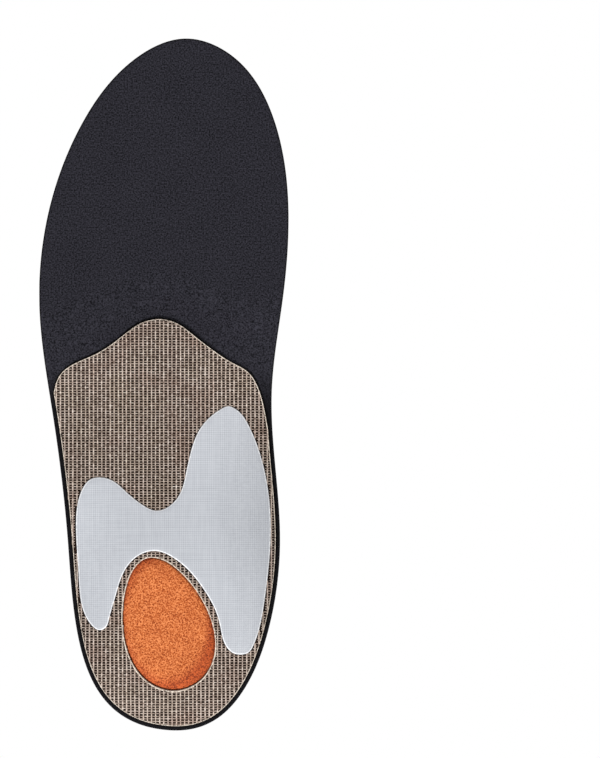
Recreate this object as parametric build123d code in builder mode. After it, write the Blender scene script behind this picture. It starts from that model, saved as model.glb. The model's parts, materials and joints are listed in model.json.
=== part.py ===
"""Cushioned insole for a right shoe: a woven composite shell under layered foam.

Axes: +X to the little-toe side, +Y to the toes, +Z up to the foot. The insole lies on its underside,
and the origin is under the middle of its plan. Lengths are millimetres.
"""

from build123d import *
from math import cos, hypot, pi, radians, sin
import os

# ---- Overall size of this insole --------------------------------------------------------------------
LENGTH = 277.0
BALL_WIDTH = 99.8

# ---- Thickness of each layer ------------------------------------------------------------------------
STABILISER_THICKNESS = 0.6
SHELL_THICKNESS = 1.2
BASE_THICKNESS_HEEL = 4.0
BASE_THICKNESS_FRONT = 2.6
CUSHION_THICKNESS = 2.0
COVER_THICKNESS = 1.0
BASE_RIM_THICKNESS = 1.6
CUSHION_RIM_THICKNESS = 1.1

# ---- Contour of the underside -----------------------------------------------------------------------
CUP_DEPTH = 12.0
ARCH_HEIGHT = 14.0
OUTER_ARCH_HEIGHT = 5.0
SHANK_RISE = 3.5

# ---- Shell, its window and the heel pad -------------------------------------------------------------
SHELL_MARGIN = 1.9
WINDOW_LENGTH = 54.6
WINDOW_WIDTH = 35.1
WINDOW_TAPER = 0.2
WINDOW_TILT = 16.0
PAD_LIP = 2.5
PAD_CLEARANCE = 0.2
PAD_RECESS = 0.5
STABILISER_CLEARANCE = 2.2
STABILISER_MARGIN = 1.0

# ---- Flex line across the ball of the foot ----------------------------------------------------------
FLEX_ANGLE = 15.0
FLEX_GAP = 0.3

# ---- Plan pattern -----------------------------------------------------------------------------------
# Insole patterns are drawn at one size and graded to the others. These are the places at the drawn size,
# each as (distance from the back of the heel, distance to the little-toe side of the centre line).
PATTERN_LENGTH = 277.0
PATTERN_WIDTH = 99.8
HEEL_BACK = (0.0, -3.0)
TOE_TIP = (277.0, -9.0)
LITTLE_TOE_SIDE = [(16.0, 26.5), (42.0, 35.2), (76.0, 38.5), (126.0, 44.4), (171.0, 49.8), (208.0, 46.0),
                   (243.0, 32.7), (268.5, 12.0)]
BIG_TOE_SIDE = [(16.0, -31.8), (42.0, -42.3), (76.0, -46.5), (136.0, -43.2), (172.0, -47.5), (208.0, -49.9),
                (244.0, -44.3), (268.5, -29.3)]
WINDOW_CENTRE = (42.9, -0.8)
SHELL_TIP = (164.7, 1.5)
SHELL_FRONT = [(121.5, 49.0), (137.0, 43.6), (142.5, 41.4), (146.2, 37.0), (150.9, 26.9), (157.7, 16.9),
               (163.1, 9.1), SHELL_TIP, (162.8, -5.7), (157.8, -12.5), (152.2, -19.8), (147.3, -27.3),
               (143.5, -33.7), (136.8, -37.8), (127.0, -40.4), (114.0, -42.4), (80.0, -47.3)]
STABILISER_EDGE = [(129.8, -27.0), (127.1, -30.8), (122.0, -34.1), (107.0, -39.6), (81.0, -42.8),
                   (52.0, -40.3), (34.8, -36.2), (31.1, -33.6), (30.5, -31.0), (31.0, -28.0),
                   (34.6, -24.5), (42.0, -22.5), (49.7, -20.0), (55.8, -16.5), (61.6, -12.3), (68.8, -4.5),
                   (72.0, 4.0), (69.5, 11.0), (62.6, 16.4), (53.4, 19.4), (45.0, 21.8), (41.0, 23.6),
                   (40.3, 25.9), (42.0, 28.7), (46.4, 31.6), (63.0, 34.2), (84.0, 35.2), (97.1, 32.5),
                   (100.6, 29.6), (101.5, 26.1), (100.1, 20.4), (95.4, 14.7), (90.7, 8.8), (88.2, 3.0),
                   (90.2, -2.4), (95.5, -6.7), (103.5, -8.9), (112.1, -10.9), (119.8, -13.8),
                   (125.5, -18.3), (128.8, -22.8)]
BALL_LINE = (188.0, 0.0)

# The bowl that the heel and arch lie in, on the drawn pattern. Its floor is a share of its half width.
HEEL_CENTRE = (46.0, -4.0)
ARCH_CENTRE_SHIFT = 5.5
HALF_WIDTH = 42.0
CUP_LENGTH = 46.0
CUP_FLOOR = 0.45
ARCH_FLOOR = 0.30
SIDE_BLEND = 20.0

# Where each change in the contour starts and ends, as distances from the back of the heel
CENTRE_SHIFTS = (70.0, 140.0)
FLOOR_NARROWS = (50.0, 95.0)
INNER_RIM_CHANGES = (50.0, 95.0)
INNER_RIM_ENDS = (112.0, 176.0)
OUTER_RIM_CHANGES = (40.0, 100.0)
OUTER_RIM_ENDS = (112.0, 162.0)
SHANK_RISES = (58.0, 110.0)
SHANK_FALLS = (126.0, 160.0)
SHELL_COMES_DOWN = (128.0, 158.0)
BASE_THINS = (60.0, 165.0)
RIM_THICKENS = (120.0, 165.0)

# How the foam comes down to the ground in front of the shell
SHELL_TIP_LEAD = 4.0
SHELL_FLANK_SLOPE = 0.4
SHELL_TIP_ROUNDING = 8.0
STEP_LENGTH = 20.0

# ---- Building limits --------------------------------------------------------------------------------
TALL = 60.0
GRID_STEP = 5.0
GRID_MARGIN = 8.0
SURFACE_TOLERANCE = 0.01
WINDOW_POINTS = 16
OUTLINE_EDGES = 12


def graded(from_heel, sideways):
    """Take a place on the drawn pattern to its place on this insole."""
    return (sideways * BALL_WIDTH / PATTERN_WIDTH, from_heel * LENGTH / PATTERN_LENGTH - LENGTH / 2)


def ease(value, start, end):
    """Go smoothly from 0 at start to 1 at end."""
    part = min(max((value - start) / (end - start), 0.0), 1.0)
    return part * part * (3 - 2 * part)


def wall_rise(from_heel, sideways):
    """How far up the side wall of the heel cup or arch a place is: 0 on the floor, 1 at the rim."""
    middle = HEEL_CENTRE[1] + ARCH_CENTRE_SHIFT * ease(from_heel, *CENTRE_SHIFTS)
    behind = max(HEEL_CENTRE[0] - from_heel, 0.0) / CUP_LENGTH
    outward = hypot((sideways - middle) / HALF_WIDTH, behind)
    floor = CUP_FLOOR + (ARCH_FLOOR - CUP_FLOOR) * ease(from_heel, *FLOOR_NARROWS)
    if outward <= floor:
        return 0.0
    if outward <= 1.0:
        return ((outward - floor) / (1 - floor)) ** 2
    return 1.0 + 2 * (outward - 1) / (1 - floor)


def wall_height(from_heel, sideways):
    """Height of the rim: the heel cup, then the high inner arch and the low outer one."""
    inner = CUP_DEPTH + (ARCH_HEIGHT - CUP_DEPTH) * ease(from_heel, *INNER_RIM_CHANGES)
    inner *= 1 - ease(from_heel, *INNER_RIM_ENDS)
    outer = CUP_DEPTH + (OUTER_ARCH_HEIGHT - CUP_DEPTH) * ease(from_heel, *OUTER_RIM_CHANGES)
    outer *= 1 - ease(from_heel, *OUTER_RIM_ENDS)
    to_inner = ease(HEEL_CENTRE[1] - sideways, -SIDE_BLEND, SIDE_BLEND)
    return outer + (inner - outer) * to_inner


def under_shell(from_heel, sideways):
    """Height of the shell's underside, which the stabiliser keeps clear of the ground at the heel."""
    rise = wall_rise(from_heel, sideways)
    stand = STABILISER_THICKNESS * (1 - ease(from_heel, *SHELL_COMES_DOWN))
    shank = SHANK_RISE * ease(from_heel, *SHANK_RISES) * (1 - ease(from_heel, *SHANK_FALLS))
    return stand + shank / (1 + rise) + wall_height(from_heel, sideways) * rise


def under_stabiliser(from_heel, sideways):
    return under_shell(from_heel, sideways) - STABILISER_THICKNESS


def under_plug(from_heel, sideways):
    return under_shell(from_heel, sideways) + PAD_RECESS


def under_foam(from_heel, sideways):
    """Height of the foam's underside: over the shell, then down to the ground in front of it."""
    flank = SHELL_FLANK_SLOPE * hypot(sideways - SHELL_TIP[1], SHELL_TIP_ROUNDING)
    shell_ends = SHELL_TIP[0] + SHELL_TIP_LEAD - flank
    step = SHELL_THICKNESS * (1 - ease(from_heel, shell_ends, shell_ends + STEP_LENGTH))
    return under_shell(from_heel, sideways) + step


def over_base(from_heel, sideways):
    rise = wall_rise(from_heel, sideways) * (1 - ease(from_heel, *RIM_THICKENS))
    middle = BASE_THICKNESS_HEEL + (BASE_THICKNESS_FRONT - BASE_THICKNESS_HEEL) * ease(from_heel, *BASE_THINS)
    return under_foam(from_heel, sideways) + middle + (BASE_RIM_THICKNESS - middle) * rise


def over_cushion(from_heel, sideways):
    rise = wall_rise(from_heel, sideways) * (1 - ease(from_heel, *RIM_THICKENS))
    thickness = CUSHION_THICKNESS + (CUSHION_RIM_THICKNESS - CUSHION_THICKNESS) * rise
    return over_base(from_heel, sideways) + thickness


def over_cover(from_heel, sideways):
    return over_cushion(from_heel, sideways) + COVER_THICKNESS


def contour(height):
    """A smooth face over the rear of the pattern, at the height that the function gives."""
    wide = PATTERN_WIDTH / 2 + GRID_MARGIN
    long = BALL_LINE[0] + wide * sin(radians(FLEX_ANGLE)) + GRID_MARGIN
    columns = round(2 * wide / GRID_STEP)
    rows = round((long + GRID_MARGIN) / GRID_STEP)
    points = []
    for column in range(columns + 1):
        sideways = -wide + 2 * wide * column / columns
        line = []
        for row in range(rows + 1):
            from_heel = -GRID_MARGIN + (long + GRID_MARGIN) * row / rows
            line.append((*graded(from_heel, sideways), height(from_heel, sideways)))
        points.append(line)
    return Face.make_surface_from_array_of_points(points, tol=SURFACE_TOLERANCE)


stabiliser_under_face = contour(under_stabiliser)
shell_under_face = contour(under_shell)
plug_under_face = contour(under_plug)
foam_under_face = contour(under_foam)
base_top_face = contour(over_base)
cushion_top_face = contour(over_cushion)
cover_top_face = contour(over_cover)

flex_x, flex_y = graded(*BALL_LINE)
flex_plane = Plane(
    origin=(flex_x, flex_y, 0),
    x_dir=(cos(radians(FLEX_ANGLE)), -sin(radians(FLEX_ANGLE)), 0),
    z_dir=(sin(radians(FLEX_ANGLE)), cos(radians(FLEX_ANGLE)), 0),
)
behind_flex = flex_plane.offset(-FLEX_GAP / 2)
ahead_of_flex = flex_plane.offset(FLEX_GAP / 2)


# ---- Plan sketches ----------------------------------------------------------------------------------
def closed_outline(points):
    """Draw a smooth closed outline through the points, as several edges so that each side face is short."""
    ring = Spline(*points, periodic=True, mode=Mode.PRIVATE)
    for number in range(OUTLINE_EDGES):
        add(ring.trim(number / OUTLINE_EDGES, (number + 1) / OUTLINE_EDGES))


def foot_edge(inset):
    """Points round the foot plan, each moved inward from the edge by a distance."""
    places = [HEEL_BACK, *LITTLE_TOE_SIDE, TOE_TIP, *reversed(BIG_TOE_SIDE)]
    points = [graded(*place) for place in places]
    moved = []
    for number, (x, y) in enumerate(points):
        before, after = points[number - 1], points[(number + 1) % len(points)]
        along_x, along_y = after[0] - before[0], after[1] - before[1]
        length = hypot(along_x, along_y)
        moved.append((x - inset * along_y / length, y + inset * along_x / length))
    return moved


with BuildSketch() as foot_plan:
    with BuildLine():
        closed_outline(foot_edge(0.0))
    make_face()


def window_edge(outward):
    """Points round the egg-shaped window, wide end to the heel, each moved outward by a distance."""
    centre_x, centre_y = graded(*WINDOW_CENTRE)
    tilt = radians(WINDOW_TILT)
    points = []
    for number in range(WINDOW_POINTS):
        turn = 2 * pi * number / WINDOW_POINTS
        across = (WINDOW_WIDTH / 2 * (1 + WINDOW_TAPER * cos(turn)) + outward) * sin(turn)
        along = -(WINDOW_LENGTH / 2 + outward) * cos(turn)
        points.append((
            centre_x + across * cos(tilt) + along * sin(tilt),
            centre_y - across * sin(tilt) + along * cos(tilt),
        ))
    return points


with BuildSketch() as window_plan:
    with BuildLine():
        closed_outline(window_edge(0.0))
    make_face()

with BuildSketch() as plug_plan:
    with BuildLine():
        closed_outline(window_edge(-PAD_CLEARANCE))
    make_face()

with BuildSketch() as pad_plan:
    with BuildLine():
        closed_outline(window_edge(PAD_LIP))
    make_face()

with BuildSketch() as pocket_plan:
    with BuildLine():
        closed_outline(window_edge(PAD_LIP + PAD_CLEARANCE))
    make_face()

with BuildSketch() as shell_plan:
    with BuildLine():
        front = [graded(*place) for place in SHELL_FRONT]
        Spline(*front)
        Polyline(front[-1], (-BALL_WIDTH, front[-1][1]), (-BALL_WIDTH, -LENGTH), (BALL_WIDTH, -LENGTH),
                 (BALL_WIDTH, front[0][1]), front[0])
    make_face()
    with BuildLine():
        closed_outline(foot_edge(SHELL_MARGIN))
    make_face(mode=Mode.INTERSECT)

with BuildSketch() as stabiliser_plan:
    with BuildLine():
        closed_outline([graded(*place) for place in STABILISER_EDGE])
    make_face()

with BuildSketch() as stabiliser_limit_plan:
    with BuildLine():
        closed_outline(foot_edge(SHELL_MARGIN + STABILISER_MARGIN))
    make_face()

with BuildSketch() as clear_of_window_plan:
    with BuildLine():
        closed_outline(window_edge(STABILISER_CLEARANCE))
    make_face()


# ---- Rear body: everything behind the flex line ------------------------------------------------------
def keep_between(lower_face, upper_face):
    """Cut the part in hand to what lies above one contour face and below another."""
    split(bisect_by=lower_face, keep=Keep.TOP)
    split(bisect_by=upper_face, keep=Keep.BOTTOM)


low_plane = Plane.XY.offset(-TALL / 2)

with BuildPart() as arch_stabiliser:
    with BuildSketch(low_plane):
        add(stabiliser_plan.sketch)
    extrude(amount=TALL)
    with BuildSketch(low_plane):
        add(stabiliser_limit_plan.sketch)
    extrude(amount=TALL, mode=Mode.INTERSECT)
    with BuildSketch(low_plane):
        add(clear_of_window_plan.sketch)
    extrude(amount=TALL, mode=Mode.SUBTRACT)
    keep_between(stabiliser_under_face, shell_under_face)

with BuildPart() as support_shell:
    with BuildSketch(low_plane):
        add(shell_plan.sketch)
        add(window_plan.sketch, mode=Mode.SUBTRACT)
    extrude(amount=TALL)
    keep_between(shell_under_face, foam_under_face)

# The pad fills a pocket in the base foam, and its plug hangs down into the shell's window.
with BuildPart() as heel_pad:
    with BuildSketch(low_plane):
        add(pad_plan.sketch)
    extrude(amount=TALL)
    split(bisect_by=foam_under_face, keep=Keep.TOP)
    with BuildSketch(low_plane):
        add(plug_plan.sketch)
    extrude(amount=TALL)
    keep_between(plug_under_face, base_top_face)

with BuildPart() as base_foam_rear:
    with BuildSketch(low_plane):
        add(foot_plan.sketch)
    extrude(amount=TALL)
    with BuildSketch(low_plane):
        add(pocket_plan.sketch)
    extrude(amount=TALL, mode=Mode.SUBTRACT)
    split(bisect_by=behind_flex, keep=Keep.BOTTOM)
    keep_between(foam_under_face, base_top_face)

with BuildPart() as cushion_foam_rear:
    with BuildSketch(low_plane):
        add(foot_plan.sketch)
    extrude(amount=TALL)
    split(bisect_by=behind_flex, keep=Keep.BOTTOM)
    keep_between(base_top_face, cushion_top_face)

with BuildPart() as top_cover_rear:
    with BuildSketch(low_plane):
        add(foot_plan.sketch)
    extrude(amount=TALL)
    split(bisect_by=behind_flex, keep=Keep.BOTTOM)
    keep_between(cushion_top_face, cover_top_face)


# ---- Front body: flat layers under the ball and toes -------------------------------------------------
with BuildPart() as base_foam_front:
    with BuildSketch():
        add(foot_plan.sketch)
    extrude(amount=BASE_THICKNESS_FRONT)
    split(bisect_by=ahead_of_flex, keep=Keep.TOP)

with BuildPart() as cushion_foam_front:
    with BuildSketch(Plane.XY.offset(BASE_THICKNESS_FRONT)):
        add(foot_plan.sketch)
    extrude(amount=CUSHION_THICKNESS)
    split(bisect_by=ahead_of_flex, keep=Keep.TOP)

with BuildPart() as top_cover_front:
    with BuildSketch(Plane.XY.offset(BASE_THICKNESS_FRONT + CUSHION_THICKNESS)):
        add(foot_plan.sketch)
    extrude(amount=COVER_THICKNESS)
    split(bisect_by=ahead_of_flex, keep=Keep.TOP)


# ---- Write one file for each piece --------------------------------------------------------------------
pieces = {
    "arch_stabiliser": arch_stabiliser,
    "support_shell": support_shell,
    "heel_pad": heel_pad,
    "base_foam_rear": base_foam_rear,
    "cushion_foam_rear": cushion_foam_rear,
    "top_cover_rear": top_cover_rear,
    "base_foam_front": base_foam_front,
    "cushion_foam_front": cushion_foam_front,
    "top_cover_front": top_cover_front,
}
os.makedirs("parts", exist_ok=True)
for name, piece in pieces.items():
    piece.part.label = name
    export_step(piece.part, f"parts/{name}.step")

pivot_height = BASE_THICKNESS_FRONT + CUSHION_THICKNESS + COVER_THICKNESS
print(f"flex hinge at ({flex_x:.2f}, {flex_y:.2f}, {pivot_height:.2f}), turned {FLEX_ANGLE} degrees")
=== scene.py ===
"""The looks of a cushioned insole for a right foot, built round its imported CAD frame.

Row frame, in metres: +X to the little-toe side, +Y to the toes, +Z up to the foot. The main camera looks
straight up at the underside, with the toes at the top of the picture.
"""

import bpy
import json
import random
from math import ceil, cos, floor, pi, radians, sin
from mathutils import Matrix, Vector, noise
from mathutils.bvhtree import BVHTree
from mathutils.geometry import delaunay_2d_cdt


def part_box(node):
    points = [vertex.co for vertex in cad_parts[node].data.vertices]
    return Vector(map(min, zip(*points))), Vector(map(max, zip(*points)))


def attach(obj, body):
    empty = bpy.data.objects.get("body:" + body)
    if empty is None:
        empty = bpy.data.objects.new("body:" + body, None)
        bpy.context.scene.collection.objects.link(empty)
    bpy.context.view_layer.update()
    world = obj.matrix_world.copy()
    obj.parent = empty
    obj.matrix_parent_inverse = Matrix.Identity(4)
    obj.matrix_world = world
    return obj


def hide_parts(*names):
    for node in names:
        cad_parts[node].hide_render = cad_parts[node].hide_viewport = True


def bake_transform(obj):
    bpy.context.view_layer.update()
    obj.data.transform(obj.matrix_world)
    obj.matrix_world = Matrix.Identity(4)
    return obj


MM = 0.001
UP = Vector((0, 0, 1))
DOWN = Vector((0, 0, -1))
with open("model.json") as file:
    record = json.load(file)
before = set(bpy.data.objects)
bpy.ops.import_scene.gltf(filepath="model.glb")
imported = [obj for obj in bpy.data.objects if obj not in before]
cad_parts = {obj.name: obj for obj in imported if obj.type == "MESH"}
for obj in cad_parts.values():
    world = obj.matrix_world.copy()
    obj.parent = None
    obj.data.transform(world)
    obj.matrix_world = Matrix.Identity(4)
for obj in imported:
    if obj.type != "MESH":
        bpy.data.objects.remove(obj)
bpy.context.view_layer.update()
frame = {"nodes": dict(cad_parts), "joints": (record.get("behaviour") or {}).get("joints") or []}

# ---- Camera and studio ---------------------------------------------------------------------------
PICTURE_HEIGHT = 758
PIXEL = 0.4 * MM
SENSOR = 36
CAMERA_CENTRE = (-54.5 * MM, 2.3 * MM)
CAMERA_DEPTH = 8.0
FLOOR_DROP = 0.35 * MM
FLOOR_SIZE = 14.0
AMBIENT = 0.55

# Each light: its name, the direction towards it, its strength and how many degrees wide it looks
SUNS = (
    ("under_key", (0.35, -1.0, -0.9), 3.25, 10),
    ("under_fill", (-1.0, -0.1, -0.7), 0.6, 40),
    ("over_key", (0.6, -0.5, 1.1), 1.9, 16),
    ("over_fill", (-0.9, 0.5, 0.8), 0.8, 50),
)

# ---- Reading and filling outlines ----------------------------------------------------------------
FACING = 0.25
SEEN_FROM_BELOW = -0.2
WELD_SCALE = 1e6
RAY_LOW = -0.05
RAY_HIGH = 0.08
MIDDLE_HEIGHT = 0.005
NUDGES = (0.05, 0.2, 0.45, 0.9)
NUDGE_TURNS = 8
NEAREST_POINTS = 0.15 * MM
FLEX_CLEAR = 0.3 * MM
FENCE_HEIGHT = 1.0
ROW_SHARE = 0.866
BORDER_SHARE = 0.55

# ---- Weave of the shell --------------------------------------------------------------------------
WARP_PITCH = 1.655 * MM
WEFT_PITCH = 1.045 * MM
WARP_WIDTH = 0.53 * MM
WEFT_WIDTH = 0.38 * MM
YARN_THICKNESS = 0.16 * MM
YARN_WAVE = 0.06 * MM
YARN_LIFT = 0.02 * MM
YARN_SUNK = -0.03 * MM
PITCH_ERROR = 0.06
WIDTH_RANGE = (0.86, 1.14)
SWAY_RANGE = (0, 10)
DRIFT = 0.10 * MM
DRIFT_LENGTH = 7 * MM
SWELL = 0.22
SWELL_LENGTH = 2.2 * MM
WARP_SEED = 11
WEFT_SEED = 12

# A yarn's section, as places across its width and shares of its thickness
YARN_SECTION = ((-0.5, 0.0), (-0.26, 0.85), (0.26, 0.85), (0.5, 0.0))

# ---- Beads along the cut edges -------------------------------------------------------------------
OUTER_EDGE_WIDTH = 0.27 * MM
WINDOW_EDGE_WIDTH = 0.42 * MM
EDGE_BEAD = 0.22 * MM
# A near-black bead on the foam round the shell: painted shadow of the shell's edge.
SHADOW_LINE_WIDTH = 0.8 * MM
SHADOW_LINE_BEAD = 0.05 * MM
FRAY = 0.7
FRAY_LENGTH = 0.8 * MM
BEAD_SECTION = ((1.0, 0.0), (0.8, 0.7), (0.3, 1.0), (-0.05, 0.6), (-0.1, -1.5))

# ---- Layers, pad and film ------------------------------------------------------------------------
OUTLINE_STEP = 1.0 * MM
SHELL_EDGE_STEP = 0.5 * MM
LAYER_GRID = 1.6 * MM
CUSHION_GRID = 2.4 * MM
CUSHION_INSET = 0.1 * MM
FOAM_ROUNDING = 0.5 * MM
# Painted shade on the black foam beside the shell: full behind this place along Y, faded out this far in
# front of it.
HEEL_SHADE_BEHIND = -10 * MM
HEEL_SHADE_FADE = 16 * MM
POCKET_SKIN = 0.3 * MM
PAD_GRID = 0.42 * MM
PAD_LIP = 2.3 * MM
PAD_LIP_LIFT = 0.03 * MM
PAD_GAP = 0.12 * MM
PAD_EDGE_SUNK = 0.6 * MM
PAD_CROWN = 4.5 * MM
PAD_CROWN_CURVE = 2.2
PAD_SHADE_SHIFT = Vector((1.0, 2.1)) * MM
FILM_EDGE_STEP = 0.8 * MM
FILM_GRID = 1.4 * MM
FILM_BEVEL = 0.45 * MM

# The pad's lumps: their size, their height and the layer of noise that they are read from
PAD_LUMPS = ((0.8 * MM, 0.07 * MM, 0), (2.6 * MM, 0.06 * MM, 9))

# The film's edge from below: how far in it is, as a share of the bevel, and how far up the film
FILM_EDGE = ((0.55, 0.10), (0.12, 0.45), (0.0, 0.9))


# ---- Reading the frame ---------------------------------------------------------------------------
def welded_mesh(*nodes):
    """One list of vertices and one of faces for some CAD nodes, with the seams between faces closed."""
    vertices, faces, known = [], [], {}
    for node in nodes:
        obj = frame["nodes"][node]
        places = [obj.matrix_world @ v.co for v in obj.data.vertices]
        for polygon in obj.data.polygons:
            face = []
            for index in polygon.vertices:
                key = (node, *(round(value * WELD_SCALE) for value in places[index]))
                if key not in known:
                    known[key] = len(vertices)
                    vertices.append(places[index])
                face.append(known[key])
            if len(set(face)) == len(face):
                faces.append(face)
    return vertices, faces


def tree_of(*nodes):
    """A tree of some CAD nodes' faces, for rays and distances."""
    return BVHTree.FromPolygons(*welded_mesh(*nodes))


def surface_under(tree):
    """A function that gives a tree's lowest height over a place in plan, and the surface's normal there."""
    return surface_along(tree, UP, RAY_LOW)


def surface_over(tree):
    """The same for a tree's highest surface."""
    return surface_along(tree, DOWN, RAY_HIGH)


def surface_along(tree, direction, start):
    """The same along a direction. Where nothing good is met, places close by are tried in turn."""
    nudges = [(0, 0)]
    for reach in NUDGES:
        angles = [turn * 2 * pi / NUDGE_TURNS for turn in range(NUDGE_TURNS)]
        nudges += [(reach * cos(angle) * MM, reach * sin(angle) * MM) for angle in angles]

    def height(x, y):
        for dx, dy in nudges:
            place, normal, _, _ = tree.ray_cast(Vector((x + dx, y + dy, start)), direction)
            if place is not None and abs(normal.z) > FACING:
                if normal.dot(direction) > 0:
                    normal = -normal
                return place.z - (normal.x * -dx + normal.y * -dy) / normal.z, normal
        near, normal, _, _ = tree.find_nearest(Vector((x, y, MIDDLE_HEIGHT)))
        return near.z, -direction

    return height


def covers(tree, x, y):
    """Whether a place in plan lies under the tree's solid."""
    return tree.ray_cast(Vector((x, y, RAY_LOW)), UP)[0] is not None


def underside_loops(node):
    """The closed outlines of a node's underside in plan, longest first, each anticlockwise."""
    vertices, faces = welded_mesh(node)
    uses = {}
    for face in faces:
        a, b, c = (vertices[index] for index in face[:3])
        if (b - a).cross(c - a).normalized().z > SEEN_FROM_BELOW:
            continue
        for start, end in zip(face, face[1:] + face[:1]):
            uses[(start, end)] = True
    following = {start: end for start, end in uses if (end, start) not in uses}
    loops = []
    while following:
        first, here = next(iter(following.items()))
        loop = [first]
        del following[first]
        while here != first and here in following:
            loop.append(here)
            here = following.pop(here)
        points = [vertices[index].xy.copy() for index in loop]
        if signed_area(points) < 0:
            points.reverse()
        loops.append(points)
    loops.sort(key=lambda points: -signed_area(points))
    return loops


def signed_area(points):
    """The area inside a loop in plan, below zero where the loop runs clockwise."""
    pairs = zip(points, points[1:] + points[:1])
    return sum(a.x * b.y - b.x * a.y for a, b in pairs) / 2


def smooth_loop(points, spacing):
    """Even points along a smooth closed curve through the given ones."""
    clean = []
    for point in points:
        if not clean or (point - clean[-1]).length > NEAREST_POINTS:
            clean.append(point)
    count = len(clean)
    fine = []
    for number in range(count):
        p0, p1, p2, p3 = (clean[(number + step) % count] for step in (-1, 0, 1, 2))
        t1 = (p1 - p0).length ** 0.5
        t2 = t1 + (p2 - p1).length ** 0.5
        t3 = t2 + (p3 - p2).length ** 0.5
        pieces = max(2, ceil((p2 - p1).length / (spacing / 3)))
        for piece in range(pieces):
            t = t1 + (t2 - t1) * piece / pieces
            a1 = p0 * ((t1 - t) / t1) + p1 * (t / t1)
            a2 = p1 * ((t2 - t) / (t2 - t1)) + p2 * ((t - t1) / (t2 - t1))
            a3 = p2 * ((t3 - t) / (t3 - t2)) + p3 * ((t - t2) / (t3 - t2))
            b1 = a1 * ((t2 - t) / t2) + a2 * (t / t2)
            b2 = a2 * ((t3 - t) / (t3 - t1)) + a3 * ((t - t1) / (t3 - t1))
            fine.append(b1 * ((t2 - t) / (t2 - t1)) + b2 * ((t - t1) / (t2 - t1)))
    return even_loop(fine, spacing)


def even_loop(points, spacing):
    """Points spaced evenly along the straight runs of a closed loop."""
    ring = points + points[:1]
    lengths = [0.0]
    for a, b in zip(ring, ring[1:]):
        lengths.append(lengths[-1] + (b - a).length)
    count = round(lengths[-1] / spacing)
    even, here = [], 0
    for number in range(count):
        target = lengths[-1] * number / count
        while lengths[here + 1] < target:
            here += 1
        part = (target - lengths[here]) / (lengths[here + 1] - lengths[here])
        even.append(ring[here].lerp(ring[here + 1], part))
    return even


def moved_in(loop, distance):
    """The loop with each point moved inward at right angles to the edge."""
    moved = []
    count = len(loop)
    for number, point in enumerate(loop):
        along = (loop[(number + 1) % count] - loop[number - 1]).normalized()
        moved.append(point + Vector((-along.y, along.x)) * distance)
    return moved


def plan_box(points):
    """The lowest and highest corners of some points in plan."""
    low = Vector((min(p.x for p in points), min(p.y for p in points)))
    high = Vector((max(p.x for p in points), max(p.y for p in points)))
    return low, high


joint = frame["joints"][0]
pivot = Vector(joint["pos_m"])
forward = UP.cross(Vector(joint["axis"]).normalized()).normalized()


def foot_loop(spacing):
    """The whole foot plan: the rear and front outlines joined where the flex line cuts them."""
    chain = []
    for node, side in (("base_foam_rear", -1), ("base_foam_front", 1)):
        loop = underside_loops(node)[0]
        past = [(point - pivot.xy).dot(forward.xy) * side > FLEX_CLEAR for point in loop]
        start = next(i for i in range(len(loop)) if past[i] and not past[i - 1])
        chain += [p for p, keep in zip(loop[start:] + loop[:start], past[start:] + past[:start]) if keep]
    return smooth_loop(chain, spacing)


# ---- Mesh building -------------------------------------------------------------------------------
def new_object(name, vertices, faces, materials, smooth=True):
    """A mesh object in the scene."""
    mesh = bpy.data.meshes.new(name)
    mesh.from_pydata([tuple(v) for v in vertices], [], faces)
    mesh.validate()
    for material in materials:
        mesh.materials.append(material)
    mesh.polygons.foreach_set("use_smooth", [smooth] * len(mesh.polygons))
    obj = bpy.data.objects.new(name, mesh)
    bpy.context.scene.collection.objects.link(obj)
    return obj


def neighbours(count):
    """Each number of a closed ring with the number after it."""
    return [(i, (i + 1) % count) for i in range(count)]


def fence(loop):
    """A wall that stands on a loop, from which distances in plan are measured."""
    corners = [(p.x, p.y, z) for p in loop for z in (-FENCE_HEIGHT, FENCE_HEIGHT)]
    panels = [(2 * a, 2 * b, 2 * b + 1, 2 * a + 1) for a, b in neighbours(len(loop))]
    return BVHTree.FromPolygons(corners, panels)


def crossings(loop, y):
    """The places where a line across the plan at y crosses a loop."""
    pairs = zip(loop, loop[1:] + loop[:1])
    return [a.x + (b.x - a.x) * (y - a.y) / (b.y - a.y) for a, b in pairs if (a.y > y) != (b.y > y)]


def filled(loop, spacing):
    """Points and triangles that fill a loop in plan, with the loop's own points first."""
    points = list(loop)
    border = fence(loop)
    low, high = plan_box(loop)
    row_step = spacing * ROW_SHARE
    for row in range(ceil((high.y - low.y) / row_step)):
        y = low.y + (row + 0.5) * row_step
        places = sorted(crossings(loop, y))
        for start, end in zip(places[::2], places[1::2]):
            for column in range(floor(start / spacing), ceil(end / spacing) + 1):
                x = (column + 0.5 * (row % 2)) * spacing
                too_near = border.find_nearest(Vector((x, y, 0)), spacing * BORDER_SHARE)[0]
                if start < x < end and too_near is None:
                    points.append(Vector((x, y)))
    points, _, triangles, _, _, _ = delaunay_2d_cdt(points, neighbours(len(loop)), [], 0, 1e-7)
    kept = []
    for triangle in triangles:
        middle = sum((points[i] for i in triangle), Vector((0, 0))) / 3
        if sum(place < middle.x for place in crossings(loop, middle.y)) % 2:
            kept.append(triangle)
    return points, kept


def add_ring(vertices, places):
    """Add places to a list of vertices, and give their numbers."""
    first = len(vertices)
    vertices += places
    return list(range(first, len(vertices)))


def walls(rings):
    """The four-sided faces between each closed ring of vertex numbers and the next."""
    faces = []
    for lower, upper in zip(rings, rings[1:]):
        faces += [(lower[i], lower[j], upper[j], upper[i]) for i, j in neighbours(len(lower))]
    return faces


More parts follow.
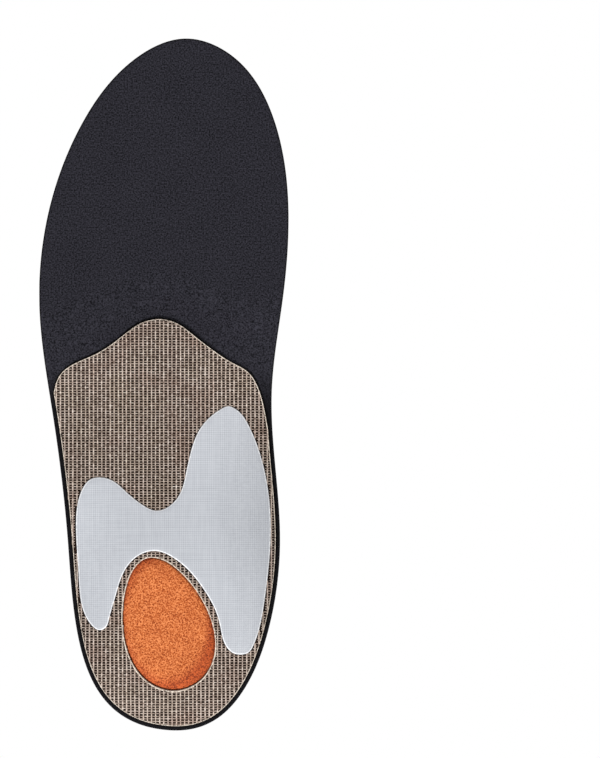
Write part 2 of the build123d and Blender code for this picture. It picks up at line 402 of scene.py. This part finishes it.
def slab(name, loop, low, high, spacing, rounding, materials):
    """A closed sheet between two heights, with rounded edges and the last material on its sides."""
    middle = moved_in(loop, rounding * 0.3)
    points, triangles = filled(moved_in(loop, rounding), spacing)
    vertices = [Vector((p.x, p.y, surface(p.x, p.y)[0])) for surface in (low, high) for p in points]
    faces = [tuple(reversed(t)) for t in triangles]
    faces += [tuple(i + len(points) for i in t) for t in triangles]
    rings = [list(range(len(loop)))]
    steps = ((middle, low, 0.3), (loop, low, 1.0), (loop, high, -1.0), (middle, high, -0.3))
    for ring, surface, inset in steps:
        heights = [surface(p.x, p.y)[0] + inset * rounding for p in middle]
        rings.append(add_ring(vertices, [Vector((p.x, p.y, height)) for p, height in zip(ring, heights)]))
    rings.append([i + len(points) for i in range(len(loop))])
    piece = new_object(name, vertices, faces + walls(rings), materials)
    for face in piece.data.polygons[len(faces):]:
        face.material_index = len(materials) - 1
    return piece


# ---- Materials -----------------------------------------------------------------------------------
class Shading:
    """A material made node by node, with its texture places in the piece's own metres."""

    def __init__(self, name, roughness, specular=0.5):
        self.material = bpy.data.materials.new(name)
        self.material.use_nodes = True
        self.tree = self.material.node_tree
        self.shader = self.tree.nodes["Principled BSDF"]
        self.shader.inputs["Roughness"].default_value = roughness
        self.shader.inputs["Specular IOR Level"].default_value = specular
        self.place = self.tree.nodes.new("ShaderNodeTexCoord").outputs["Object"]

    def node(self, kind, **settings):
        made = self.tree.nodes.new(kind)
        for name, value in settings.items():
            setattr(made, name, value)
        return made

    def connect(self, value, socket):
        if isinstance(value, bpy.types.NodeSocket):
            self.tree.links.new(value, socket)
        else:
            socket.default_value = value

    def noise(self, cell, detail=2.0, roughness=0.5, place=None):
        """Smooth random values, with features of about one cell."""
        made = self.node("ShaderNodeTexNoise")
        self.connect(place or self.place, made.inputs["Vector"])
        made.inputs["Scale"].default_value = 1 / cell
        made.inputs["Detail"].default_value = detail
        made.inputs["Roughness"].default_value = roughness
        return made.outputs["Fac"]

    def cells(self, cell):
        """The distance from the middle of random cells."""
        made = self.node("ShaderNodeTexVoronoi")
        self.connect(self.place, made.inputs["Vector"])
        made.inputs["Scale"].default_value = 1 / cell
        return made.outputs["Distance"]

    def stretched(self, x, y, z):
        """Texture places scaled along each axis, so that noise grows long where the number is small."""
        made = self.node("ShaderNodeVectorMath", operation="MULTIPLY")
        self.connect(self.place, made.inputs[0])
        made.inputs[1].default_value = (x, y, z)
        return made.outputs["Vector"]

    def axis(self, name):
        """The place along one of the piece's axes, in metres."""
        split = self.node("ShaderNodeSeparateXYZ")
        self.connect(self.place, split.inputs[0])
        return split.outputs[name]

    def math(self, operation, a, b=0.0):
        made = self.node("ShaderNodeMath", operation=operation)
        for value, socket in zip((a, b), made.inputs):
            self.connect(value, socket)
        return made.outputs[0]

    def weighted(self, *parts):
        """The sum of some values, each times its share."""
        total, *others = [self.math("MULTIPLY", value, share) for value, share in parts]
        for other in others:
            total = self.math("ADD", total, other)
        return total

    def wave(self, value, pitch):
        """A sine wave along a value."""
        return self.math("SINE", self.math("MULTIPLY", value, 2 * pi / pitch))

    def ramp(self, value, stops):
        """Colours along a value: a list of (place, sRGB colour 0-255)."""
        made = self.node("ShaderNodeValToRGB")
        self.connect(value, made.inputs["Fac"])
        elements = made.color_ramp.elements
        for _ in stops[len(elements):]:
            elements.new(0.5)
        for element, (place, colour) in zip(elements, stops):
            element.position = place
            element.color = linear(colour)
        return made.outputs["Color"]

    def mix(self, share, a, b, blend="MIX"):
        """One colour laid over another by a share."""
        made = self.node("ShaderNodeMix", data_type="RGBA", blend_type=blend)
        self.connect(share, made.inputs["Factor"])
        self.connect(a, made.inputs["A"])
        self.connect(b, made.inputs["B"])
        return made.outputs["Result"]

    def colour(self, value):
        """Give the shader its colour."""
        self.connect(value, self.shader.inputs["Base Color"])

    def bump(self, value, height):
        """Give the shader relief of a height in metres."""
        made = self.node("ShaderNodeBump")
        made.inputs["Distance"].default_value = height
        made.inputs["Strength"].default_value = 1.0
        self.connect(value, made.inputs["Height"])
        self.connect(made.outputs["Normal"], self.shader.inputs["Normal"])


def linear(colour):
    """An sRGB colour, 0-255, as linear RGBA."""
    values = []
    for value in colour:
        share = value / 255
        values.append(share / 12.92 if share <= 0.04045 else ((share + 0.055) / 1.055) ** 2.4)
    return (*values, 1.0)


def yarn_material(name, light, dark, along):
    """Yarn of undyed fibre: long streaks along it, and slubs and stains across it."""
    s = Shading(name, roughness=0.75, specular=0.3)
    fibre, slub, patch = 0.16 * MM, 1.3 * MM, 12 * MM
    stretch = (1.0, 0.08, 1.0) if along == "Y" else (0.08, 1.0, 1.0)
    fibres = s.noise(fibre, detail=2.0, place=s.stretched(*stretch))
    slubs = s.noise(slub, detail=2.0, roughness=0.6)
    tone = s.weighted((fibres, 0.45), (slubs, 0.55))
    base = s.ramp(tone, [(0.34, dark), (0.54, light), (0.70, (224, 216, 208))])
    tints = [(0.35, (226, 208, 200)), (0.5, (255, 252, 250)), (0.66, (240, 236, 226))]
    patches = s.ramp(s.noise(patch, detail=3.0), tints)
    s.colour(s.mix(0.6, base, patches, blend="MULTIPLY"))
    s.bump(fibres, 0.02 * MM)
    return s.material


def resin_material():
    """Dark brown resin between the yarns, with darker and paler blotches."""
    s = Shading("woven_shell_resin", roughness=0.6, specular=0.06)
    blotches = s.noise(1.1 * MM, detail=3.0, roughness=0.65)
    s.colour(s.ramp(blotches, [(0.3, (8, 3, 1)), (0.55, (28, 15, 9)), (0.75, (56, 38, 27))]))
    s.bump(blotches, 0.08 * MM)
    return s.material


def cut_edge_material():
    """Frayed pale fibre where the laminate is cut."""
    s = Shading("woven_shell_cut_edge", roughness=0.8, specular=0.3)
    frays = s.noise(0.55 * MM, detail=3.0, roughness=0.7)
    s.colour(s.ramp(frays, [(0.34, (90, 74, 62)), (0.46, (196, 182, 166)), (0.6, (236, 226, 212))]))
    s.bump(frays, 0.06 * MM)
    return s.material


def shadow_line_material():
    """Near-black painted shadow of the shell's edge on the foam, dull and uneven."""
    s = Shading("painted_shadow_line", roughness=0.8, specular=0.1)
    s.colour(s.ramp(s.noise(1.2 * MM), [(0.4, (2, 1, 2)), (0.7, (16, 14, 17))]))
    s.bump(s.noise(0.5 * MM), 0.04 * MM)
    return s.material


def film_material():
    """Pale grey film over a fine square scrim, which shows through as a soft grid."""
    s = Shading("stabiliser_film", roughness=0.42, specular=0.45)
    pitch, thread, cloud = 0.86 * MM, 0.9 * MM, 5 * MM
    grid = s.math("ADD", s.wave(s.axis("X"), pitch), s.wave(s.axis("Y"), pitch))
    uneven = s.noise(cloud, detail=3.0, roughness=0.6)
    lines = s.math("MULTIPLY", grid, s.math("MULTIPLY", uneven, 0.26))
    threads = s.noise(thread, detail=1.0, place=s.stretched(1.0, 0.04, 1.0))
    rows = s.noise(thread, detail=1.0, place=s.stretched(0.04, 1.0, 1.0))
    streaks = s.math("MULTIPLY", s.math("ADD", threads, rows), 0.28)
    tone = s.math("ADD", s.math("ADD", lines, streaks), 0.22)
    s.colour(s.ramp(tone, [(0.2, (162, 165, 171)), (0.5, (178, 181, 187)), (0.8, (191, 194, 199))]))
    s.bump(lines, 0.03 * MM)
    return s.material


def film_edge_material():
    """The film's cut edge, paler than the film: painted highlight of the light that its bevel catches."""
    s = Shading("stabiliser_cut_edge", roughness=0.5, specular=0.4)
    edge_highlights = [(0.35, (196, 198, 202)), (0.5, (222, 223, 226)), (0.65, (246, 247, 249))]
    s.colour(s.ramp(s.noise(0.7 * MM), edge_highlights))
    s.bump(s.noise(0.4 * MM), 0.03 * MM)
    return s.material


def orange_foam_material(centre, half):
    """Granular open-cell foam with dark pores and pale grains, with painted shade: darker and redder towards
    its rim.
    """
    s = Shading("orange_foam", roughness=0.85, specular=0.25)
    grain, pore, cloud = 0.6 * MM, 0.62 * MM, 6 * MM
    grains = s.noise(grain, detail=2.0, roughness=0.75)
    tone = s.weighted((grains, 0.8), (s.cells(pore), 0.25))
    # Painted shade: the orange darkens and reddens towards the rim, measured from a centre given off the
    # pad's middle.
    across = s.math("DIVIDE", s.math("SUBTRACT", s.axis("X"), centre.x), half.x)
    along = s.math("DIVIDE", s.math("SUBTRACT", s.axis("Y"), centre.y), half.y)
    outward = s.math("SQRT", s.weighted((across, across), (along, along)))
    orange_colour = s.ramp(tone, [(0.38, (128, 48, 10)), (0.50, (186, 92, 38)), (0.62, (230, 141, 85))])
    shaded_orange = s.ramp(tone, [(0.38, (100, 30, 6)), (0.62, (196, 92, 44))])
    base = s.mix(s.ramp(outward, [(0.82, (0, 0, 0)), (1.02, (255, 255, 255))]), orange_colour, shaded_orange)
    clouds = s.ramp(s.noise(cloud, detail=2.0), [(0.3, (236, 226, 222)), (0.7, (255, 255, 255))])
    s.colour(s.mix(0.7, base, clouds, blend="MULTIPLY"))
    s.bump(tone, 0.16 * MM)
    return s.material


def foam_material(name, dark, light, grain, heel_shade=False):
    """Fine-celled foam with a slight nap, and optionally painted shade that darkens it towards the heel,
    beside the shell.
    """
    s = Shading(name, roughness=0.95, specular=0.12)
    nap = s.noise(grain, detail=3.0, roughness=0.75)
    clouds = s.noise(14 * MM, detail=2.0)
    tone = s.weighted((nap, 0.96), (clouds, 0.04))
    nap_colour = s.ramp(tone, [(0.38, dark), (0.62, light)])
    if heel_shade:
        # Painted shade: darker towards the heel, fading out towards the toes.
        forward_share = s.math("DIVIDE", s.math("SUBTRACT", s.axis("Y"), HEEL_SHADE_BEHIND), HEEL_SHADE_FADE)
        heel_shade_tone = s.ramp(forward_share, [(0.0, (120, 118, 122)), (1.0, (255, 255, 255))])
        nap_colour = s.mix(1.0, nap_colour, heel_shade_tone, blend="MULTIPLY")
    s.colour(nap_colour)
    s.bump(nap, 0.12 * MM)
    return s.material


def cover_material():
    """Knitted lining: ribs of small loops along the foot, dark, with a little sheen."""
    s = Shading("cover_textile", roughness=0.9, specular=0.15)
    s.shader.inputs["Sheen Weight"].default_value = 0.08
    s.shader.inputs["Sheen Roughness"].default_value = 0.4
    wale, course = 1.5 * MM, 1.1 * MM
    half = s.math("MULTIPLY", s.math("FLOOR", s.math("DIVIDE", s.axis("X"), wale)), course * 0.5)
    x = s.math("PINGPONG", s.axis("X"), wale / 2)
    y = s.math("ADD", s.axis("Y"), s.math("ADD", half, s.math("MULTIPLY", x, 0.55)))
    height = s.weighted((s.wave(s.axis("X"), wale), 0.22), (s.wave(y, course), 0.2))
    fuzz = s.noise(0.3 * MM, detail=3.0, roughness=0.7)
    tone = s.weighted((height, 0.5), (fuzz, 1.0))
    s.colour(s.ramp(tone, [(0.25, (10, 10, 13)), (0.5, (30, 30, 34)), (0.8, (66, 66, 73))]))
    s.bump(tone, 0.22 * MM)
    return s.material


def floor_material():
    """Matt white floor."""
    s = Shading("floor", roughness=1.0, specular=0.0)
    s.colour(s.ramp(s.noise(0.4), [(0.0, (240, 240, 241)), (1.0, (244, 244, 244))]))
    return s.material


# ---- Camera, floor and light ---------------------------------------------------------------------
def make_camera():
    """The camera under the foot, which starts to see between the floor and the insole."""
    data = bpy.data.cameras.new("camera")
    data.sensor_width = SENSOR
    tall = PIXEL * PICTURE_HEIGHT
    data.lens = SENSOR / 2 / (tall / 2 / CAMERA_DEPTH)
    data.clip_start = CAMERA_DEPTH - FLOOR_DROP * 0.6
    data.clip_end = CAMERA_DEPTH * 2
    camera = bpy.data.objects.new("camera", data)
    bpy.context.scene.collection.objects.link(camera)
    camera.location = (*CAMERA_CENTRE, -CAMERA_DEPTH)
    camera.rotation_euler = UP.to_track_quat("-Z", "Y").to_euler()
    bpy.context.scene.camera = camera


def make_sun(name, towards, strength, softness):
    """A distant soft light in the given direction."""
    data = bpy.data.lights.new(name, "SUN")
    data.energy = strength
    data.angle = radians(softness)
    light = bpy.data.objects.new(name, data)
    light.rotation_euler = Vector(towards).to_track_quat("Z", "Y").to_euler()
    bpy.context.scene.collection.objects.link(light)


def make_studio():
    """A white surround, a floor that the view from below is cut in front of, and lights on both its sides."""
    world = bpy.data.worlds.new("studio")
    world.use_nodes = True
    tree = world.node_tree
    paths = tree.nodes.new("ShaderNodeLightPath")
    strength = tree.nodes.new("ShaderNodeMapRange")
    strength.inputs["To Min"].default_value = AMBIENT
    strength.inputs["To Max"].default_value = 1.0
    tree.links.new(paths.outputs["Is Camera Ray"], strength.inputs["Value"])
    tree.links.new(strength.outputs["Result"], tree.nodes["Background"].inputs["Strength"])
    tree.nodes["Background"].inputs["Color"].default_value = (1, 1, 1, 1)
    bpy.context.scene.world = world
    bpy.context.scene.view_settings.view_transform = "Standard"
    half = FLOOR_SIZE / 2
    corners = [(x, y, -FLOOR_DROP) for x, y in ((-half, -half), (half, -half), (half, half), (-half, half))]
    ground = new_object("floor", corners, [(0, 1, 2, 3)], [floor_material()], smooth=False)
    ground.visible_shadow = False
    ground.visible_diffuse = False
    ground.visible_glossy = False
    for sun in SUNS:
        make_sun(*sun)


# ---- Foam layers and cover, each in one piece over the flex line ---------------------------------
def across_flex(piece):
    """Bake a piece's placement into its mesh; the piece is not bent."""
    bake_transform(piece)


def layer_heights():
    """Heights of the base's underside, with its pocket for the pad, and of the three layers' tops."""
    base, pad = tree_of("base_foam_rear", "base_foam_front"), tree_of("heel_pad")
    base_under, pad_over = surface_under(base), surface_over(pad)
    base_over = surface_over(tree_of("base_foam_rear", "base_foam_front", "heel_pad"))

    def base_low(x, y):
        if covers(pad, x, y):
            height, normal = pad_over(x, y)
            return height - POCKET_SKIN, normal
        return base_under(x, y)

    cushion = tree_of("cushion_foam_rear", "cushion_foam_front")
    cover = tree_of("top_cover_rear", "top_cover_front")
    return base_low, base_over, surface_over(cushion), surface_over(cover)


def make_layers(outline):
    """The base foam, the cushion foam and the cover, each cut to the foot's outline."""
    base_low, base_high, cushion_high, cover_high = layer_heights()
    # Painted shade: the black foam darkens towards the heel, and its sides take a darker copy of it for faces
    # turned from the light.
    black = foam_material("black_foam", (2, 2, 5), (51, 50, 58), 0.62 * MM, heel_shade=True)
    black_shaded_side = foam_material("black_foam_painted_shade_side", (1, 1, 2), (22, 21, 26), 0.62 * MM)
    grey = foam_material("grey_foam", (78, 79, 84), (124, 125, 130), 0.6 * MM)
    base = slab("base_foam", outline, base_low, base_high, LAYER_GRID, FOAM_ROUNDING, [black, black_shaded_side])
    cushion = slab("cushion_foam", moved_in(outline, CUSHION_INSET), base_high, cushion_high, CUSHION_GRID,
                   FOAM_ROUNDING * 0.7, [grey])
    cover = slab("top_cover", outline, cushion_high, cover_high, LAYER_GRID, FOAM_ROUNDING * 0.8,
                 [cover_material()])
    for piece, node, finish in ((base, "base_foam", "black_foam"), (cushion, "cushion_foam", "grey_foam"),
                                (cover, "top_cover", "cover_textile")):
        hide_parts(node + "_rear", node + "_front")
    signed_area(outline)
    for piece in (base, cushion, cover):
        across_flex(piece)


# ---- Heel pad ------------------------------------------------------------------------------------
def make_heel_pad(window_loop):
    """The pad: a granular plug that hangs in the window, sunk at its edge, under a wider lip in the foam."""
    pad_tree = tree_of("heel_pad")
    plug_under, pad_over = surface_under(pad_tree), surface_over(pad_tree)
    shell_over = surface_over(tree_of("support_shell"))
    loop = moved_in(window_loop, PAD_GAP)
    lip = moved_in(window_loop, -PAD_LIP)
    border = fence(loop)
    points, triangles = filled(loop, PAD_GRID)
    vertices = []
    for point in points:
        inward = border.find_nearest(Vector((point.x, point.y, 0)))[3]
        height = plug_under(point.x, point.y)[0]
        height += PAD_EDGE_SUNK * (1 - min(inward / PAD_CROWN, 1.0)) ** PAD_CROWN_CURVE
        for size, lump, layer in PAD_LUMPS:
            height += noise.noise(Vector((point.x, point.y, layer)) / size) * lump
        vertices.append(Vector((point.x, point.y, height)))
    faces = [tuple(reversed(t)) for t in triangles]
    rings = [list(range(len(loop)))]
    for ring, surface, lift in ((loop, shell_over, PAD_LIP_LIFT), (lip, shell_over, PAD_LIP_LIFT),
                                (lip, pad_over, -POCKET_SKIN)):
        heights = [surface(p.x, p.y)[0] + lift for p in lip]
        rings.append(add_ring(vertices, [Vector((p.x, p.y, height)) for p, height in zip(ring, heights)]))
    faces += walls(rings)
    top_points, top_triangles = filled(lip, LAYER_GRID)
    first = len(vertices) - len(lip)
    vertices += [Vector((p.x, p.y, pad_over(p.x, p.y)[0] - POCKET_SKIN)) for p in top_points[len(lip):]]
    faces += [tuple(index + first for index in triangle) for triangle in top_triangles]
    low, high = plan_box(loop)
    foam = orange_foam_material((low + high) / 2 + PAD_SHADE_SHIFT, (high - low) / 2)
    pad = new_object("heel_pad_foam", vertices, faces, [foam])
    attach(pad, "rearfoot")
    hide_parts("heel_pad")


# ---- Woven shell ---------------------------------------------------------------------------------
def yarn_runs(tree, film_tree, start, end, step, fixed, along_y):
    """The stretches of one yarn that lie on the shell and not under the film: lists of positions along it."""
    runs, run = [], []
    count = ceil((end - start) / step)
    for number in range(count + 1):
        along = start + number * step
        x, y = (fixed, along) if along_y else (along, fixed)
        if covers(tree, x, y) and not covers(film_tree, x, y):
            run.append(along)
        elif run:
            runs.append(run)
            run = []
    if run:
        runs.append(run)
    return [run for run in runs if len(run) > 1]


def make_yarns(name, along_y, material):
    """Every yarn of one direction, each a low ridge that goes over and under the ones it crosses."""
    pick = random.Random(WARP_SEED if along_y else WEFT_SEED)
    shell, film = tree_of("support_shell"), tree_of("arch_stabiliser")
    under = surface_under(shell)
    low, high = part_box("support_shell")
    if along_y:
        own_pitch, other_pitch, width, over = WARP_PITCH, WEFT_PITCH, WARP_WIDTH, 1
        low_fixed, high_fixed, start, end = low.x, high.x, low.y, high.y
    else:
        own_pitch, other_pitch, width, over = WEFT_PITCH, WARP_PITCH, WEFT_WIDTH, -1
        low_fixed, high_fixed, start, end = low.y, high.y, low.x, high.x
    start = floor(start / other_pitch) * other_pitch
    corners = len(YARN_SECTION)
    vertices, faces = [], []
    for number in range(floor(low_fixed / own_pitch), ceil(high_fixed / own_pitch) + 1):
        fixed = number * own_pitch + pick.uniform(-PITCH_ERROR, PITCH_ERROR) * MM
        own_width = width * pick.uniform(*WIDTH_RANGE)
        sway = pick.uniform(*SWAY_RANGE)
        for run in yarn_runs(shell, film, start, end, other_pitch / 2, fixed, along_y):
            base = len(vertices)
            for along in run:
                drift = noise.noise(Vector((along / DRIFT_LENGTH, sway, number))) * DRIFT
                swell = 1 + SWELL * noise.noise(Vector((along / SWELL_LENGTH, sway + 5, number)))
                wave = cos(pi * (along / other_pitch + number)) * over * YARN_WAVE
                for side, rise in YARN_SECTION:
                    across = fixed + drift + side * own_width * swell
                    x, y = (across, along) if along_y else (along, across)
                    height, normal = under(x, y)
                    body = rise * (YARN_THICKNESS + wave * 0.5)
                    proud = YARN_LIFT + wave * 0.5 + body if rise else YARN_SUNK
                    vertices.append(Vector((x, y, height)) + normal * proud)
            for place in range(len(run) - 1):
                for side in range(corners - 1):
                    a = base + place * corners + side
                    face = (a, a + 1, a + corners + 1, a + corners)
                    faces.append(tuple(reversed(face)) if along_y else face)
    yarns = new_object(name, vertices, faces, [material])
    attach(yarns, "rearfoot")


def make_bead(name, loop, outward, width, bead, material, finish, *lies_on):
    """A narrow uneven bead along a cut edge of the shell, inside the loop or, with outward -1, outside it."""
    under = surface_under(tree_of(*lies_on))
    vertices, faces = [], []
    count, corners = len(loop), len(BEAD_SECTION)
    for number, point in enumerate(loop):
        along = (loop[(number + 1) % count] - loop[number - 1]).normalized()
        inward = Vector((-along.y, along.x)) * outward
        height, normal = under(*(point + inward * width * 0.5))
        fray = 1 + FRAY * noise.noise(Vector((point.x, point.y, 3)) / FRAY_LENGTH)
        for across, rise in BEAD_SECTION:
            place = point + inward * width * across * fray
            vertices.append(Vector((*place, height)) + normal * rise * bead * fray)
    for number, after in neighbours(count):
        for side in range(corners - 1):
            a, b = corners * number + side, corners * after + side
            face = (a, b, b + 1, a + 1)
            faces.append(face if outward > 0 else tuple(reversed(face)))
    edge = new_object(name, vertices, faces, [material])
    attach(edge, "rearfoot")


def make_shell(shell_loop, window_loop):
    """The CAD shell as dark resin, with its yarns, its two cut edges and a near-black bead round it that
    paints the shell's shadow on the foam.
    """
    plate = frame["nodes"]["support_shell"]
    plate.data.materials.clear()
    plate.data.materials.append(resin_material())
    make_yarns("shell_warp_yarns", True, yarn_material("warp_yarn", (193, 178, 167), (116, 100, 90), "Y"))
    make_yarns("shell_weft_yarns", False, yarn_material("weft_yarn", (165, 149, 137), (90, 75, 65), "X"))
    cut = cut_edge_material()
    make_bead("shell_outer_cut_edge", shell_loop, 1, OUTER_EDGE_WIDTH, EDGE_BEAD, cut, "woven_shell",
              "support_shell")
    make_bead("shell_window_cut_edge", window_loop, -1, WINDOW_EDGE_WIDTH, EDGE_BEAD, cut, "woven_shell",
              "support_shell")
    # Painted shadow: a near-black bead on the foam just outside the shell's edge.
    make_bead("shell_painted_shadow_line", shell_loop, -1, SHADOW_LINE_WIDTH, SHADOW_LINE_BEAD, shadow_line_material(), "black_foam",
              "base_foam_rear", "base_foam_front")


# ---- Arch stabiliser -----------------------------------------------------------------------------
def make_stabiliser():
    """The film with its bevelled, whitish cut edge."""
    tree = tree_of("arch_stabiliser")
    low, high = surface_under(tree), surface_over(tree)
    loop = smooth_loop(underside_loops("arch_stabiliser")[0], FILM_EDGE_STEP)
    points, triangles = filled(moved_in(loop, FILM_BEVEL), FILM_GRID)
    vertices = [Vector((p.x, p.y, surface(p.x, p.y)[0])) for surface in (low, high) for p in points]
    faces = [tuple(reversed(t)) for t in triangles]
    faces += [tuple(i + len(points) for i in t) for t in triangles]
    rings = [list(range(len(loop)))]
    for inset, share in FILM_EDGE:
        places = []
        for point in moved_in(loop, FILM_BEVEL * inset):
            bottom, top = low(point.x, point.y)[0], high(point.x, point.y)[0]
            places.append(Vector((point.x, point.y, bottom + (top - bottom) * share)))
        rings.append(add_ring(vertices, places))
    rings.append([i + len(points) for i in range(len(loop))])
    sides = walls(rings)
    film = new_object("stabiliser_film", vertices, faces + sides, [film_material(), film_edge_material()])
    # The sides get the paler edge material: painted highlight.
    film.data.polygons.foreach_set("material_index", [0] * len(faces) + [1] * len(sides))
    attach(film, "rearfoot")
    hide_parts("arch_stabiliser")


# ---- The whole insole ----------------------------------------------------------------------------
make_camera()
make_studio()
make_layers(foot_loop(OUTLINE_STEP))
shell_loops = underside_loops("support_shell")
shell_edge = smooth_loop(shell_loops[0], SHELL_EDGE_STEP)
window_edge = smooth_loop(shell_loops[1], SHELL_EDGE_STEP)
make_shell(shell_edge, window_edge)
make_heel_pad(window_edge)
make_stabiliser()
